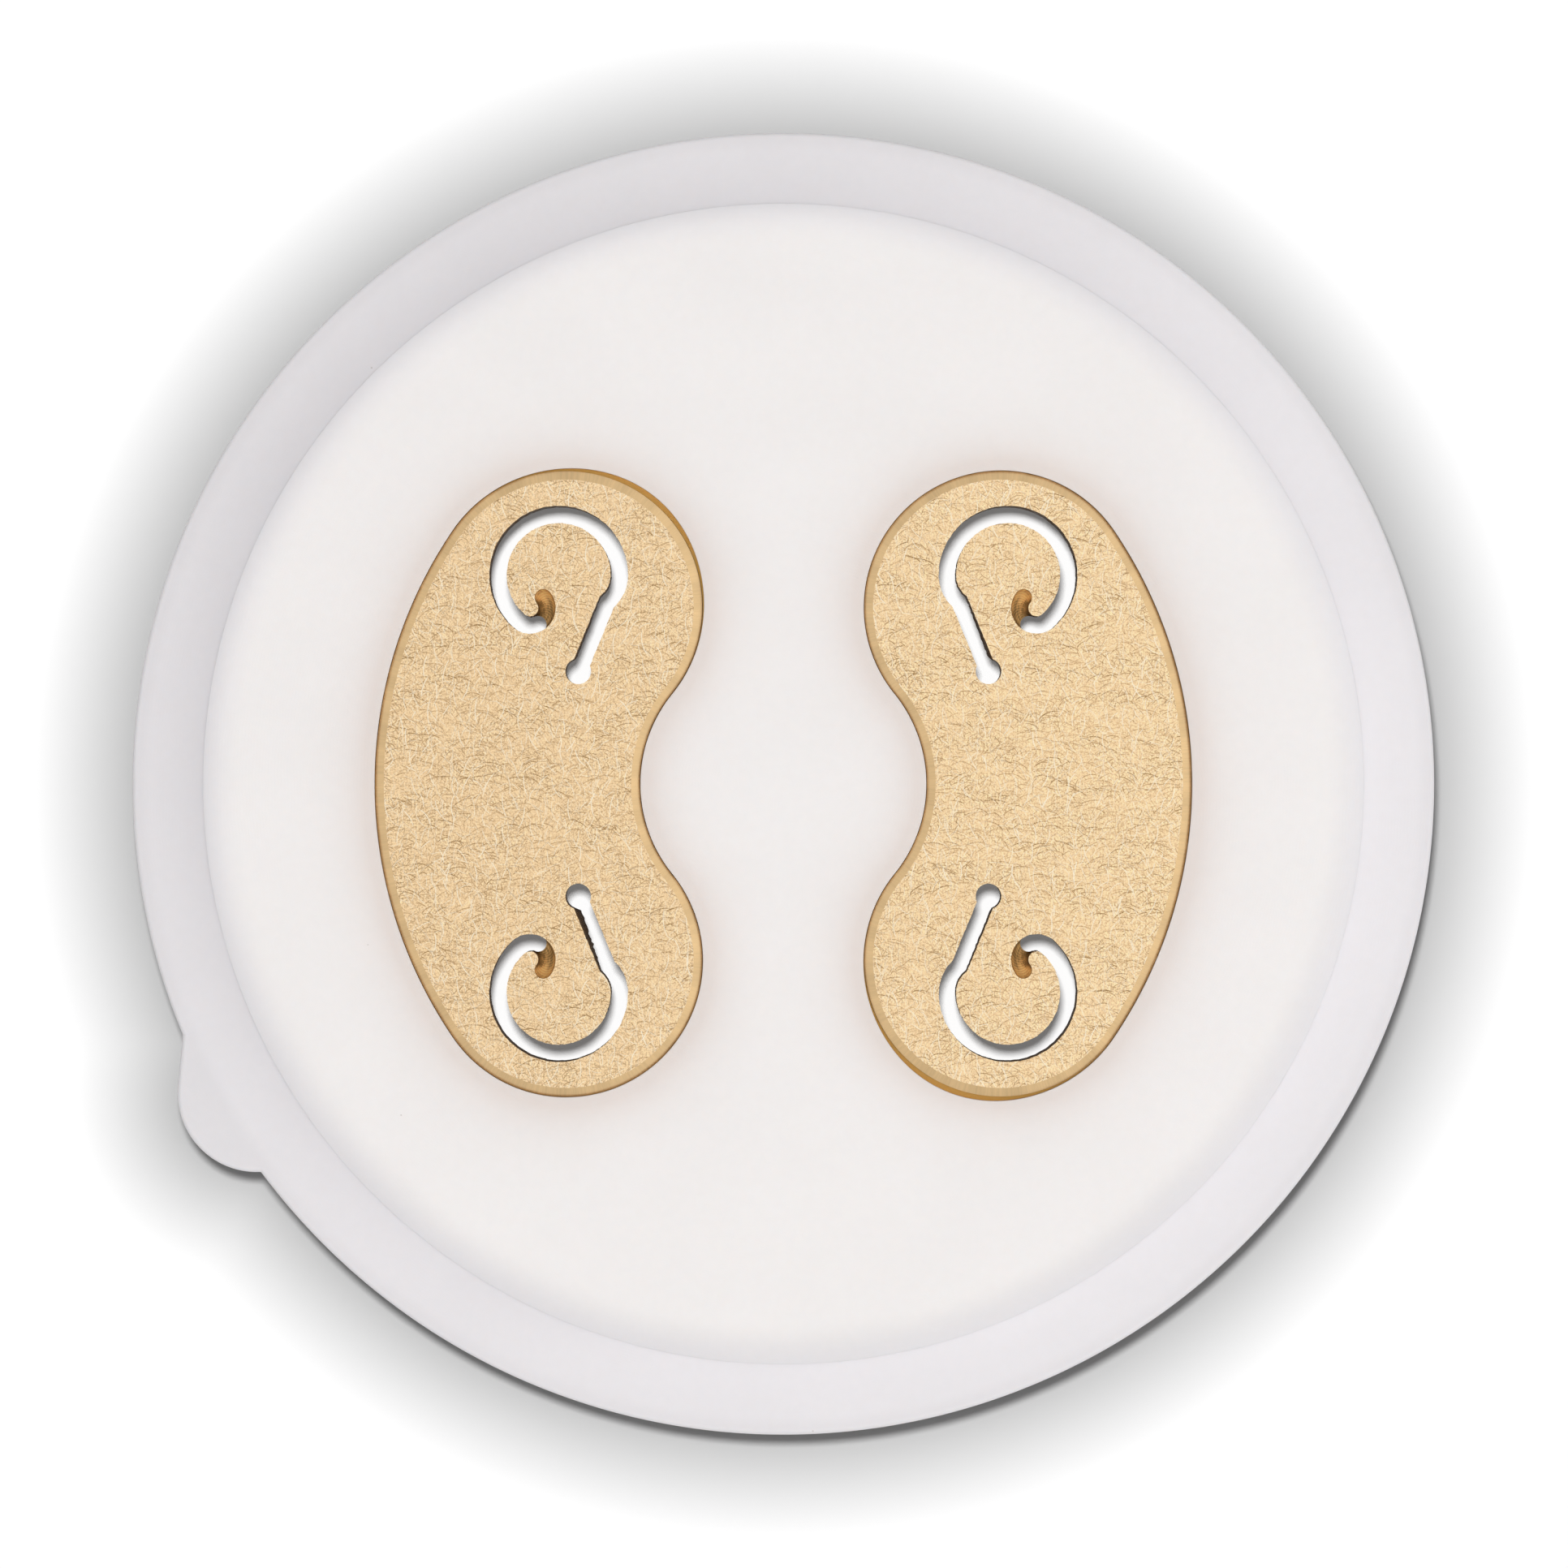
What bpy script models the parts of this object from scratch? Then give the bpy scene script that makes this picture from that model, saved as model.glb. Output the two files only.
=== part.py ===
"""Pasta extrusion die: a white acetal body with two kidney-shaped brass inserts.

The die lies on the rear face of its spigot, with the front (outlet) face up:
the Z axis is the axis of the disc, z = 0 is the rear face, lengths are metres.
Dough comes in from below, fills the recess behind each insert, enters the wide
feed chambers in the brass and leaves at the top through thin hooked slots.
"""

from math import acos, asin, ceil, cos, hypot, pi, radians, sin

import bmesh
import bpy

# Turned body
FLANGE_RADIUS = 0.0454
FLANGE_THICKNESS = 0.004
FLANGE_EDGE_ROUND = 0.0005
BOSS_RADIUS = 0.0401
BOSS_HEIGHT = 0.005
BOSS_CROWN_RADIUS = 0.0036
BOSS_CROWN_SLOPE = radians(22.0)
SPIGOT_RADIUS = 0.036
SPIGOT_LENGTH = 0.009
SPIGOT_LEAD_IN = 0.0010
FLANGE_ROOT_FILLET = 0.0005

# Locating tab on the rim of the flange: a round lobe with one straight flank
TAB_PITCH_RADIUS = 0.0426
TAB_ANGLE = radians(210.4)
TAB_ROUND = 0.00552
TAB_FLANK_ANGLE = radians(36.0)
TAB_FLANK_LENGTH = 0.0050

# Blind hole in the rear face that carries the tip of the auger
BEARING_HOLE_RADIUS = 0.005
BEARING_HOLE_DEPTH = 0.009
BEARING_HOLE_CHAMFER = 0.0006

# Kidney outline of an insert: two round lobes, joined by a waist arc about the
# axis of the die and by a flatter outer arc whose centre lies past that axis
LOBE_PITCH_RADIUS = 0.01934
LOBE_HALF_ANGLE = radians(39.06)
LOBE_RADIUS = 0.00942
OUTER_ARC_SETBACK = 0.00286

# Insert, from its retaining flange at the rear to its front face
INSERT_THICKNESS = 0.012
INSERT_FLANGE_THICKNESS = 0.003
INSERT_FLANGE_WIDTH = 0.0015
INSERT_BEVEL_WIDTH = 0.0006
INSERT_BEVEL_DEPTH = 0.0004
INSERT_REAR_CHAMFER = 0.0003

# Running fits between insert and body
SIDE_CLEARANCE = 0.0002
SEAT_CLEARANCE = 0.0003
POCKET_FRONT_CHAMFER = 0.0001
POCKET_REAR_CHAMFER = 0.0006

# Hooked slot, given for the quarter of the face where X and Y are positive
LOOP_X = 0.01552
LOOP_Y = 0.01442
LOOP_RADIUS = 0.00419
LEAD_RADIUS = 0.0024
LEAD_SWEEP = radians(50.0)
LEG_ANGLE = radians(-67.6)
LEG_LENGTH = 0.0052
BALL_RADIUS = 0.00089
HOOK_RADIUS = 0.00117
HOOK_START = radians(-49.0)
HOOK_OPEN_SWEEP = radians(64.0)
HOOK_BLIND_SWEEP = radians(105.0)
SLOT_WIDTH = 0.0012
LAND_THICKNESS = 0.0035
RAMP_STEPS = 4
RAMP_DEEP_END = 0.0029
RAMP_SHALLOW_END = 0.0011
CHAMBER_WIDTH = 0.0040

# Smoothness of the round shapes, and how far a cutter runs past a face
TURNED_STEPS = 96
CHORD_ERROR = 0.00002
OVERRUN = 0.001

# Heights that follow from the sizes above
FLANGE_REAR_Z = SPIGOT_LENGTH
FLANGE_FRONT_Z = SPIGOT_LENGTH + FLANGE_THICKNESS
FRONT_Z = FLANGE_FRONT_Z + BOSS_HEIGHT
INSERT_REAR_Z = FRONT_Z - INSERT_THICKNESS
SHOULDER_Z = INSERT_REAR_Z + INSERT_FLANGE_THICKNESS
SEAT_Z = SHOULDER_Z + SEAT_CLEARANCE
CHAMBER_TOP_Z = FRONT_Z - LAND_THICKNESS


def clear_scene():
    for old in list(bpy.data.objects):
        bpy.data.objects.remove(old, do_unlink=True)


def polar(centre, radius, angle):
    """The point at an angle and a distance from a centre."""
    return (centre[0] + radius * cos(angle), centre[1] + radius * sin(angle))


def steps_for(radius, sweep):
    """How many chords an arc takes to stay within the chord error."""
    return max(2, ceil(abs(sweep) / (2.0 * acos(1.0 - CHORD_ERROR / radius))))


def arc(centre, radius, start, end, steps):
    """Points along an arc, both ends included."""
    return [polar(centre, radius, start + (end - start) * i / steps) for i in range(steps + 1)]


def crowned_edge(radius, z, size, slope):
    """Profile points of a face that falls away towards its sharp outer edge, from the edge inwards."""
    steps = steps_for(size, slope)
    return arc((radius - size * sin(slope), z - size), size, 0.5 * pi - slope, 0.5 * pi, steps)


def rounded_edge(radius, z, size, upper):
    """Profile points (radius, height) of a rounded outer edge, from its low end to its high end."""
    points = []
    steps = steps_for(size, 0.5 * pi)
    for i in range(steps + 1):
        turn = 0.5 * pi * i / steps
        if upper:
            points.append((radius - size + size * cos(turn), z - size + size * sin(turn)))
        else:
            points.append((radius - size + size * sin(turn), z + size - size * cos(turn)))
    return points


def finish_mesh(name, bm):
    """Turn a bmesh into an object of the scene, with its faces pointing out."""
    bmesh.ops.recalc_face_normals(bm, faces=bm.faces)
    mesh = bpy.data.meshes.new(name)
    bm.to_mesh(mesh)
    bm.free()
    item = bpy.data.objects.new(name, mesh)
    bpy.context.collection.objects.link(item)
    return item


def turned(name, profile):
    """A solid turned about Z from profile points (radius, height) that start and end on the axis."""
    bm = bmesh.new()
    ring = [bm.verts.new((radius, 0.0, z)) for radius, z in profile]
    edges = [bm.edges.new(pair) for pair in zip(ring, ring[1:])]
    bmesh.ops.spin(bm, geom=ring + edges, cent=(0, 0, 0), axis=(0, 0, 1), angle=2.0 * pi, steps=TURNED_STEPS)
    bmesh.ops.remove_doubles(bm, verts=bm.verts, dist=1e-6)
    return finish_mesh(name, bm)


def lofted(name, sections):
    """A solid through flat sections (outline, height) that all have the same number of points."""
    bm = bmesh.new()
    rings = [[bm.verts.new((x, y, z)) for x, y in outline] for outline, z in sections]
    for low, high in zip(rings, rings[1:]):
        for i in range(len(low)):
            j = (i + 1) % len(low)
            bm.faces.new((low[i], low[j], high[j], high[i]))
    bm.faces.new(rings[0])
    bm.faces.new(rings[-1])
    return finish_mesh(name, bm)


def combine(item, other, operation):
    """Join another solid to an item, or cut it out of the item; the other solid is only a guide."""
    other.hide_render = True
    other.display_type = "WIRE"
    step = item.modifiers.new(other.name, "BOOLEAN")
    step.operation = operation
    step.solver = "EXACT"
    step.object = other


def settle(item):
    """Apply the joins and cuts of an item and delete their guide solids."""
    guides = [step.object for step in item.modifiers]
    evaluated = item.evaluated_get(bpy.context.evaluated_depsgraph_get())
    item.data = bpy.data.meshes.new_from_object(evaluated)
    item.data.name = item.name
    item.modifiers.clear()
    for guide in guides:
        bpy.data.objects.remove(guide, do_unlink=True)


def kidney(offset, side):
    """Outline of an insert, grown by an offset; side is +1 for the right one and -1 for the left one."""
    lobe_x = LOBE_PITCH_RADIUS * cos(LOBE_HALF_ANGLE)
    lobe_y = LOBE_PITCH_RADIUS * sin(LOBE_HALF_ANGLE)
    outer_centre = (-OUTER_ARC_SETBACK, 0.0)
    outer_radius = hypot(lobe_x + OUTER_ARC_SETBACK, lobe_y) + LOBE_RADIUS
    outer_half = asin(lobe_y / (outer_radius - LOBE_RADIUS))
    waist_radius = LOBE_PITCH_RADIUS - LOBE_RADIUS
    lobe_sweep = pi + LOBE_HALF_ANGLE - outer_half
    lobe_steps = steps_for(LOBE_RADIUS, lobe_sweep)
    outer_steps = steps_for(outer_radius, 2.0 * outer_half)
    waist_steps = steps_for(waist_radius, 2.0 * LOBE_HALF_ANGLE)
    points = arc(outer_centre, outer_radius + offset, -outer_half, outer_half, outer_steps)
    lobe_end = outer_half + lobe_sweep
    points += arc((lobe_x, lobe_y), LOBE_RADIUS + offset, outer_half, lobe_end, lobe_steps)[1:]
    points += arc((0.0, 0.0), waist_radius - offset, LOBE_HALF_ANGLE, -LOBE_HALF_ANGLE, waist_steps)[1:]
    points += arc((lobe_x, -lobe_y), LOBE_RADIUS + offset, -lobe_end, -outer_half, lobe_steps)[1:-1]
    return [(side * x, y) for x, y in points[::side]]


def slot_path(hook_sweep):
    """Centreline of a hooked slot as (point, heading, reach), from the ball end to the tip of the hook.

    Reach is how much longer than the half width the offset is where the line has a corner.
    """
    loop_centre = (LOOP_X, LOOP_Y)
    lead_centre = polar(loop_centre, LOOP_RADIUS - LEAD_RADIUS, pi)
    knee = polar(lead_centre, LEAD_RADIUS, pi + LEAD_SWEEP)
    ball = polar(knee, LEG_LENGTH, LEG_ANGLE)
    hook_centre = polar(loop_centre, LOOP_RADIUS - HOOK_RADIUS, HOOK_START)
    leg_heading = LEG_ANGLE + pi
    lead_heading = LEAD_SWEEP + 0.5 * pi
    half_turn = 0.5 * (lead_heading - leg_heading)
    path = [(ball, leg_heading, 1.0), (knee, leg_heading + half_turn, 1.0 / cos(half_turn))]
    runs = [
        (lead_centre, LEAD_RADIUS, pi + LEAD_SWEEP, pi),
        (loop_centre, LOOP_RADIUS, pi, HOOK_START),
        (hook_centre, HOOK_RADIUS, HOOK_START, HOOK_START - hook_sweep),
    ]
    for centre, radius, start, end in runs:
        if start == end:
            continue
        steps = steps_for(radius + 0.5 * SLOT_WIDTH, end - start)
        for i in range(1, steps + 1):
            angle = start + (end - start) * i / steps
            path.append((polar(centre, radius, angle), angle - 0.5 * pi, 1.0))
    return path


def ribbon(path, half_width, start_radius, end_radius):
    """Outline of a channel that follows a path, with round ends."""
    right, left = [], []
    for point, heading, reach in path[1:-1]:
        right.append(polar(point, half_width * reach, heading - 0.5 * pi))
        left.append(polar(point, half_width * reach, heading + 0.5 * pi))
    first, first_heading, _ = path[0]
    last, last_heading, _ = path[-1]
    start_spread = pi - asin(min(1.0, half_width / start_radius))
    start_steps = steps_for(start_radius, 2.0 * start_spread)
    back = first_heading + pi
    start_cap = arc(first, start_radius, back - start_spread, back + start_spread, start_steps)
    end_spread = pi - asin(min(1.0, half_width / end_radius))
    end_steps = steps_for(end_radius, 2.0 * end_spread)
    end_cap = arc(last, end_radius, last_heading - end_spread, last_heading + end_spread, end_steps)
    return start_cap + right + end_cap + left[::-1]


def placed(outline, side_x, side_y):
    """A slot outline of the first quarter, mirrored to another quarter and kept anticlockwise."""
    return [(side_x * x, side_y * y) for x, y in outline[:: side_x * side_y]]


def make_body():
    profile = [(0.0, 0.0), (SPIGOT_RADIUS - SPIGOT_LEAD_IN, 0.0), (SPIGOT_RADIUS, SPIGOT_LEAD_IN)]
    profile += [(SPIGOT_RADIUS, FLANGE_REAR_Z - FLANGE_ROOT_FILLET)]
    profile += [(SPIGOT_RADIUS + FLANGE_ROOT_FILLET, FLANGE_REAR_Z)]
    profile += rounded_edge(FLANGE_RADIUS, FLANGE_REAR_Z, FLANGE_EDGE_ROUND, upper=False)
    profile += rounded_edge(FLANGE_RADIUS, FLANGE_FRONT_Z, FLANGE_EDGE_ROUND, upper=True)
    profile += [(BOSS_RADIUS, FLANGE_FRONT_Z)]
    profile += crowned_edge(BOSS_RADIUS, FRONT_Z, BOSS_CROWN_RADIUS, BOSS_CROWN_SLOPE)
    profile += [(0.0, FRONT_Z)]
    body = turned("die_body", profile)
    combine(body, make_tab(), "UNION")
    combine(body, make_bearing_hole(), "DIFFERENCE")
    for name, side in (("left", -1), ("right", 1)):
        combine(body, make_pocket(name, side), "DIFFERENCE")
    return body


def make_tab():
    """The lobe on the rim, with the same rounded edges as the flange."""
    centre = polar((0.0, 0.0), TAB_PITCH_RADIUS, TAB_ANGLE)
    flank_angle = TAB_ANGLE - TAB_FLANK_ANGLE

    def outline(inset):
        lobe = arc(centre, TAB_ROUND - inset, flank_angle, flank_angle + pi, steps_for(TAB_ROUND, pi))
        return lobe + [polar(lobe[0], TAB_FLANK_LENGTH, flank_angle - 0.5 * pi)]

    edge = rounded_edge(0.0, FLANGE_REAR_Z, FLANGE_EDGE_ROUND, upper=False)
    edge += rounded_edge(0.0, FLANGE_FRONT_Z, FLANGE_EDGE_ROUND, upper=True)
    return lofted("tab_shape", [(outline(-reach), z) for reach, z in edge])


def make_bearing_hole():
    mouth = BEARING_HOLE_RADIUS + BEARING_HOLE_CHAMFER
    profile = [
        (0.0, -OVERRUN),
        (mouth + OVERRUN, -OVERRUN),
        (BEARING_HOLE_RADIUS, BEARING_HOLE_CHAMFER),
        (BEARING_HOLE_RADIUS, BEARING_HOLE_DEPTH),
        (0.0, BEARING_HOLE_DEPTH),
    ]
    return turned("bearing_hole_cut", profile)


def make_pocket(name, side):
    """The stepped kidney opening through the body: wide up to the seat, close round the insert above it."""
    wide = INSERT_FLANGE_WIDTH + SIDE_CLEARANCE
    sections = [
        (kidney(wide + POCKET_REAR_CHAMFER + OVERRUN, side), -OVERRUN),
        (kidney(wide, side), POCKET_REAR_CHAMFER),
        (kidney(wide, side), SEAT_Z),
        (kidney(SIDE_CLEARANCE, side), SEAT_Z),
        (kidney(SIDE_CLEARANCE, side), FRONT_Z - POCKET_FRONT_CHAMFER),
        (kidney(SIDE_CLEARANCE + POCKET_FRONT_CHAMFER + OVERRUN, side), FRONT_Z + OVERRUN),
    ]
    return lofted(name + "_pocket_cut", sections)


def make_insert(name, side):
    """A kidney-shaped brass block with a retaining flange, two hooked slots and their feed chambers."""
    sections = [
        (kidney(INSERT_FLANGE_WIDTH - INSERT_REAR_CHAMFER, side), INSERT_REAR_Z),
        (kidney(INSERT_FLANGE_WIDTH, side), INSERT_REAR_Z + INSERT_REAR_CHAMFER),
        (kidney(INSERT_FLANGE_WIDTH, side), SHOULDER_Z),
        (kidney(0.0, side), SHOULDER_Z),
        (kidney(0.0, side), FRONT_Z - INSERT_BEVEL_DEPTH),
        (kidney(-INSERT_BEVEL_WIDTH, side), FRONT_Z),
    ]
    insert = lofted(name + "_insert", sections)
    half_slot = 0.5 * SLOT_WIDTH
    half_chamber = 0.5 * CHAMBER_WIDTH
    chamber = ribbon(slot_path(0.0), half_chamber, half_chamber, half_chamber)
    open_slot = ribbon(slot_path(HOOK_OPEN_SWEEP), half_slot, BALL_RADIUS, half_slot)
    cuts = [
        ("chamber", chamber, INSERT_REAR_Z - OVERRUN, CHAMBER_TOP_Z),
        ("slot", open_slot, CHAMBER_TOP_Z - OVERRUN, FRONT_Z + OVERRUN),
    ]
    for step in range(RAMP_STEPS):
        sweep = HOOK_OPEN_SWEEP + HOOK_BLIND_SWEEP * (step + 1) / RAMP_STEPS
        depth = RAMP_DEEP_END + (RAMP_SHALLOW_END - RAMP_DEEP_END) * step / (RAMP_STEPS - 1)
        stair = ribbon(slot_path(sweep), half_slot, BALL_RADIUS, half_slot)
        cuts.append((f"stair_{step + 1}", stair, FRONT_Z - depth, FRONT_Z + OVERRUN))
    for row, side_y in (("upper", 1), ("lower", -1)):
        for kind, outline, low, high in cuts:
            shape = placed(outline, side, side_y)
            combine(insert, lofted(f"{name}_{row}_{kind}_cut", [(shape, low), (shape, high)]), "DIFFERENCE")
    return insert


def make_material(name, colour, metallic, roughness):
    material = bpy.data.materials.new(name)
    material.use_nodes = True
    shader = material.node_tree.nodes["Principled BSDF"]
    shader.inputs["Base Color"].default_value = (*colour, 1.0)
    shader.inputs["Metallic"].default_value = metallic
    shader.inputs["Roughness"].default_value = roughness
    return material


def dress(item, material):
    """Apply the cuts of a piece, give it its material and smooth its round faces."""
    settle(item)
    item.data.materials.append(material)
    item.data.shade_smooth()
    item.data.set_sharp_from_angle(angle=radians(30.0))


def main():
    clear_scene()
    acetal = make_material("white_acetal", (0.86, 0.84, 0.83), 0.0, 0.45)
    dress(make_body(), acetal)
    for name, side in (("left", -1), ("right", 1)):
        brass = make_material(name + "_insert_brass", (0.78, 0.57, 0.28), 1.0, 0.35)
        dress(make_insert(name, side), brass)


main()
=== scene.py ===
"""Looks of a pasta extrusion die: a white acetal body with two kidney-shaped brass inserts."""

import random
from math import asin, atan, atan2, ceil, cos, dist, exp, hypot, pi, radians, sin, sqrt

import bmesh
import bpy
from bpy.props import FloatProperty, FloatVectorProperty, PointerProperty
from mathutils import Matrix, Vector
from mathutils.geometry import delaunay_2d_cdt


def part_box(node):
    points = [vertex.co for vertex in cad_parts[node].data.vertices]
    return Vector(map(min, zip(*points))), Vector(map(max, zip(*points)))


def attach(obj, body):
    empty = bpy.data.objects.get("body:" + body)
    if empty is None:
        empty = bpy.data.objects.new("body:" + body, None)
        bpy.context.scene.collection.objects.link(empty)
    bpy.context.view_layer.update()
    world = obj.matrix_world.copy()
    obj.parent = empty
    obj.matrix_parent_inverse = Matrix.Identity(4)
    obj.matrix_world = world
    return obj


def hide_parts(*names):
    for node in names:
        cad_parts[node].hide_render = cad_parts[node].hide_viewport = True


bl_info = {
    "name": "Pasta Extrusion Die",
    "version": (1, 0, 0),
    "blender": (4, 5, 0),
    "location": "View3D > Sidebar > Pasta Die",
    "description": "Finishes the acetal body and the brass inserts of a pasta extrusion die",
    "category": "Add Mesh",
}

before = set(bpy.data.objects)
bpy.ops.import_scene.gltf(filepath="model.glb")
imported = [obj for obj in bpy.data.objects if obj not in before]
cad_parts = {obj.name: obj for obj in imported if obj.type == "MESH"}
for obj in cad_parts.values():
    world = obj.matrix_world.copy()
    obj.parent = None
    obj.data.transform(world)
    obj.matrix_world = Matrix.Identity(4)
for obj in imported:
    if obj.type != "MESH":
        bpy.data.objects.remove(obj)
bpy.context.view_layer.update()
BODY_LOW, BODY_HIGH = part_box("die_body")
INSERT_LOW, INSERT_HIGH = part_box("right_insert")

MM = 0.001
REAR_Z = BODY_LOW.z
FRONT_Z = BODY_HIGH.z
INSERT_REAR_Z = INSERT_LOW.z


def length(name, description, default, digits=5):
    return FloatProperty(
        name=name, description=description, default=default, unit="LENGTH", precision=digits
    )


def turn(name, description, degrees):
    return FloatProperty(name=name, description=description, default=radians(degrees), subtype="ANGLE")


def colour(name, description, default):
    return FloatVectorProperty(
        name=name, description=description, default=default, subtype="COLOR", size=3, min=0.0, max=2.0
    )


def share(name, description, default, highest=1.0):
    return FloatProperty(
        name=name, description=description, default=default, min=0.0, max=highest, subtype="FACTOR"
    )


def power(name, description, default):
    return FloatProperty(name=name, description=description, default=default, unit="POWER")


class PASTADIE_PG_body(bpy.types.PropertyGroup):
    """Sizes and colours of the acetal body"""

    flange_radius: length("Flange Radius", "Outer radius of the flange", BODY_HIGH.x)
    flange_rear_z: length("Flange Rear", "Height of the rear side of the flange", 9.0 * MM)
    flange_front_z: length("Flange Front", "Height of the front side of the flange", 13.0 * MM)
    flange_round: length("Flange Edge", "Rounding of the rim of the flange", 0.3 * MM)
    boss_radius: length("Boss Radius", "Outer radius of the raised front face", 40.1 * MM)
    crown_radius: length("Crown Radius", "Radius of the fall of the face towards its edge", 3.6 * MM)
    crown_slope: turn("Crown Slope", "Slope of the face at its edge", 22.0)
    root_round: length("Root Fillet", "Fillet where a wall meets the flange", 0.3 * MM)
    spigot_radius: length("Spigot Radius", "Outer radius of the rear spigot", 36.0 * MM)
    spigot_lead_in: length("Spigot Lead-in", "Chamfer at the rear end of the spigot", 1.0 * MM)
    tab_pitch: length("Tab Pitch", "Distance of the tab's centre from the axis", 42.6 * MM)
    tab_round: length("Tab Radius", "Radius of the locating tab", 5.52 * MM)
    tab_angle: turn("Tab Angle", "Direction of the locating tab", 210.4)
    tab_flank: turn("Tab Flank", "Angle from the tab's direction to its straight flank", 36.0)
    hole_radius: length("Bearing Hole", "Radius of the blind hole for the auger's tip", 5.0 * MM)
    hole_depth: length("Bearing Depth", "Depth of the blind hole for the auger's tip", 9.0 * MM)
    hole_chamfer: length("Bearing Chamfer", "Chamfer at the mouth of the blind hole", 0.6 * MM)
    pocket_seat_z: length("Seat", "Height of the seat under the front land of the pocket", 9.3 * MM)
    pocket_gap: length("Pocket Gap", "Clearance round an insert at the front face", 0.045 * MM)
    worn_gap: length("Worn Gap", "How much wider the clearance is where the insert sits off", 0.34 * MM)
    worn_reach: length("Worn Reach", "How far along the edge that place spreads", 6.5 * MM)
    ledge_depth: length("Ledge Depth", "Depth under the face at which the clearance closes", 0.85 * MM)
    pocket_wide: length("Pocket Rear", "How much wider the pocket is behind its seat", 1.7 * MM)
    pocket_chamfer: length("Pocket Chamfer", "Chamfer at the rear mouth of the pocket", 0.6 * MM)
    acetal: colour("Acetal", "Colour of the white plastic", (0.86, 0.832, 0.822))
    amber: colour("Amber Bleed", "Light that the plastic loses next to the brass", (0.11, 0.165, 0.20))
    # painted shade: amber colour on the plastic down in the clearance, standing in for the brass-coloured
    # shade in the gap between body and insert
    gap_shade: colour("Amber Gap Shade", "Colour of the plastic down in the clearance", (0.66, 0.36, 0.09))
    amber_reach: length("Amber Reach", "How far the warm rim spreads from the brass", 1.6 * MM)
    depth_of_light: length("Depth of Light", "How far light travels inside the plastic", 0.9 * MM)


class PASTADIE_PG_inserts(bpy.types.PropertyGroup):
    """Sizes and colours of the brass inserts"""

    lobe_pitch: length("Lobe Pitch", "Distance of the lobe centres from the axis", 19.34 * MM)
    lobe_angle: turn("Lobe Angle", "Angle of the lobe centres from the middle line", 39.06)
    lobe_radius: length("Lobe Radius", "Radius of the two round ends", 9.42 * MM)
    outer_setback: length("Outer Arc Setback", "How far past the axis its centre lies", 2.86 * MM)
    flange_width: length("Flange Width", "Width of the retaining flange", 1.5 * MM)
    flange_height: length("Flange Height", "Thickness of the retaining flange", 3.0 * MM)
    bevel_width: length("Bevel Width", "Width of the bevel round the front face", 0.60 * MM)
    bevel_depth: length("Bevel Depth", "Depth of the bevel round the front face", 0.24 * MM)
    rear_chamfer: length("Rear Chamfer", "Chamfer round the rear face", 0.3 * MM)
    loop_x: length("Loop X", "Sideways place of the loop of a slot", 15.52 * MM)
    loop_y: length("Loop Y", "Endways place of the loop of a slot", 14.42 * MM)
    loop_radius: length("Loop Radius", "Radius of the loop's centreline", 4.19 * MM)
    lead_radius: length("Lead Radius", "Radius where the loop turns into the leg", 2.4 * MM)
    lead_sweep: turn("Lead Sweep", "Angle of that turn", 50.0)
    leg_angle: turn("Leg Angle", "Direction of the leg", -67.6)
    leg_length: length("Leg Length", "Length of the leg", 5.2 * MM)
    ball_radius: length("Ball Radius", "Radius of the round end of the leg", 0.89 * MM)
    hook_radius: length("Hook Radius", "Radius of the hook's centreline", 1.17 * MM)
    hook_start: turn("Hook Start", "Where on the loop the hook begins", -49.0)
    hook_open: turn("Open Hook", "Angle of the hook that is cut right through", 64.0)
    hook_blind: turn("Blind Hook", "Angle of the hook that ends in a ramp", 105.0)
    slot_width: length("Slot Width", "Width of the slot", 1.2 * MM)
    land: length("Land", "Thickness of the brass that the slot goes through", 3.5 * MM)
    chamber_width: length("Chamber Width", "Width of the feed chamber behind the slot", 4.0 * MM)
    ramp_deep: length("Ramp Low End", "Depth of the blind ramp where it meets the open slot", 3.0 * MM)
    ramp_shallow: length("Ramp High End", "Depth of the blind ramp at the tip of the hook", 1.1 * MM)
    brass: colour("Brass", "Colour of the sanded brass", (0.985, 0.715, 0.42))
    bright: colour("Bright Scratch", "Colour of a bright scratch", (1.0, 0.91, 0.72))
    dark: colour("Dark Scratch", "Colour of a dark scratch", (0.36, 0.215, 0.085))
    milled: colour("Milled Brass", "Colour of the milled edges", (0.75, 0.525, 0.275))
    inner: colour("Inner Brass", "Colour of the walls inside the slots", (0.34, 0.21, 0.10))
    ramp: colour("Ramp Brass", "Colour of the blind ramp", (1.0, 0.62, 0.24))


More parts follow.
